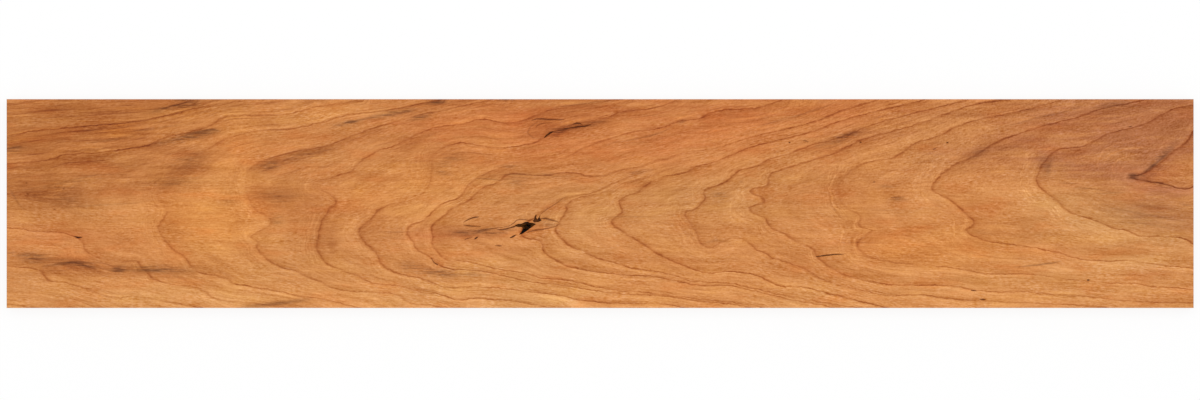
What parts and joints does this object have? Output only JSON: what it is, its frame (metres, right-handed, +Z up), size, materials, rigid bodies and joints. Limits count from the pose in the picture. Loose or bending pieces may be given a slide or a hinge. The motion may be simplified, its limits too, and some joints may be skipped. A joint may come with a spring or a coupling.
{
  "type": "cherry board",
  "caption": "Flat-sawn cherry plank, planed on its faces and sawn square, with an open knot in its upper face; stock for panels, shelves and trim.",
  "frame": {"origin": "middle of the lower face, which the board lies on", "axes": "+X along the length and the grain, +Y across the width, +Z up through the thickness to the face with the open knot"},
  "size_m": [1.219, 0.2144, 0.019],
  "materials": {
    "cherry": "planed smooth, satin"
  },
  "bodies": {
    "root": {"board": "cherry"}
  },
  "joints": []
}
